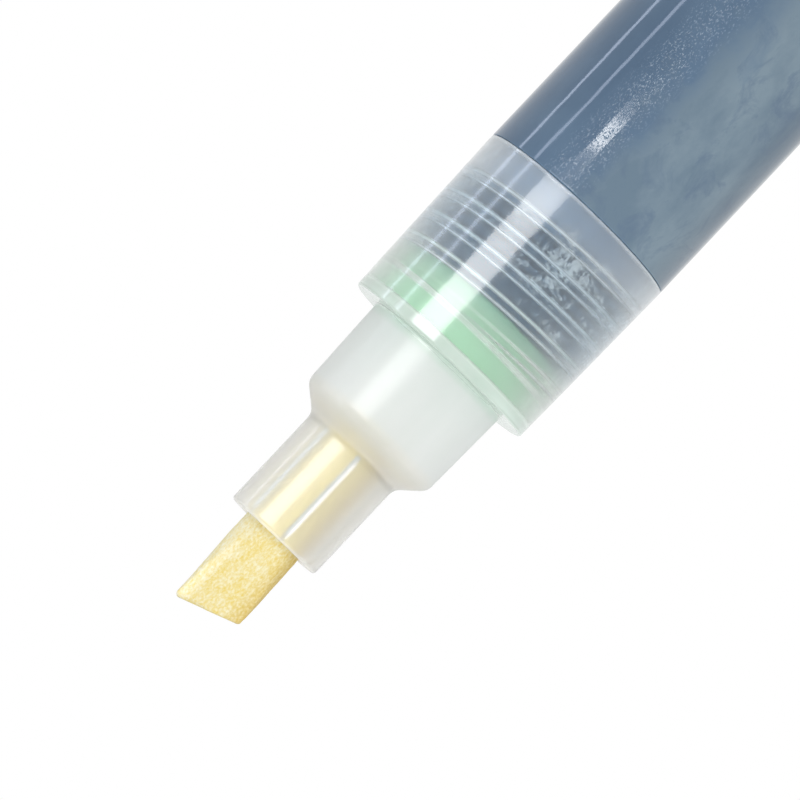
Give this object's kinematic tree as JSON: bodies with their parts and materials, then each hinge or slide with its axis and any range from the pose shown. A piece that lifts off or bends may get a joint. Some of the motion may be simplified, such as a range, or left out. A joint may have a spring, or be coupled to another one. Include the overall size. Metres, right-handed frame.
{
  "type": "acrylic paint marker",
  "caption": "Acrylic paint marker: slanted felt chisel nib in a frosted screw-on nozzle, spring pump valve, stirring ball, paint-filled barrel and a push-on cap posted on the rear.",
  "frame": {"origin": "centre of the cap's closed end, which the marker stands on with its cap posted on the rear", "axes": "+Z along the marker from cap to nib; +X to the nib's long corner; -Y is the side in the picture"},
  "size_m": [0.02, 0.02, 0.1793],
  "materials": {
    "cap_plastic": "satin blue-grey polypropylene",
    "natural_plastic": "natural milky polyethylene",
    "barrel_plastic": "clear glossy wall, coloured by the blue-grey paint behind it",
    "paint": "wet blue-grey acrylic paint",
    "steel": "polished steel ball",
    "green_plastic": "pale green polypropylene",
    "white_plastic": "white acetal",
    "spring_steel": "stainless spring wire",
    "seal_rubber": "dark soft rubber",
    "frosted_plastic": "frosted translucent polypropylene with a glossy skin",
    "felt": "porous pale-yellow felt"
  },
  "bodies": {
    "cap": {"cap_shell": "cap_plastic", "cap_liner": "natural_plastic"},
    "barrel": {"barrel": "barrel_plastic", "rear_plug": "cap_plastic", "paint_fill": "paint", "valve_body": "green_plastic", "spring_cage": "white_plastic", "valve_spring": "spring_steel"},
    "mixing_ball": {"mixing_ball": "steel"},
    "valve_stem": {"valve_stem": "white_plastic", "stem_seal": "seal_rubber"},
    "sealing_washer": {"sealing_washer": "natural_plastic"},
    "nozzle": {"nozzle_collar": "frosted_plastic"},
    "nib": {"nib": "felt"}
  },
  "joints": [
    {"name": "cap_pull", "type": "slide", "parent": "cap", "child": "barrel", "axis": [0, 0, 1], "range_m": [0, 0.01]},
    {"name": "collar_rise", "type": "slide", "parent": "barrel", "child": "sealing_washer", "axis": [0, 0, 1], "range_m": [0, 0.01]},
    {"name": "collar_unscrew", "type": "hinge", "parent": "sealing_washer", "child": "nozzle", "pos_m": [0, 0, 0.14], "axis": [0, 0, 1], "range_deg": [0, 1441]},
    {"name": "nib_press", "type": "slide", "parent": "nozzle", "child": "nib", "axis": [0, 0, -1], "range_m": [0, 0.002], "stiffness_N_per_m": 300, "springref_m": -0.003},
    {"name": "valve_open", "type": "slide", "parent": "barrel", "child": "valve_stem", "axis": [0, 0, -1], "range_m": [0, 0.002], "deforming": ["valve_spring"]},
    {"name": "ball_shake", "type": "slide", "parent": "barrel", "child": "mixing_ball", "axis": [0, 0, 1], "range_m": [0, 0.07], "deforming": ["paint_fill"]}
  ],
  "couplings": [
    {"joint": "collar_unscrew", "follows": "collar_rise", "rad_per_m": 2513.3},
    {"joint": "valve_open", "follows": "nib_press", "ratio": 1}
  ]
}
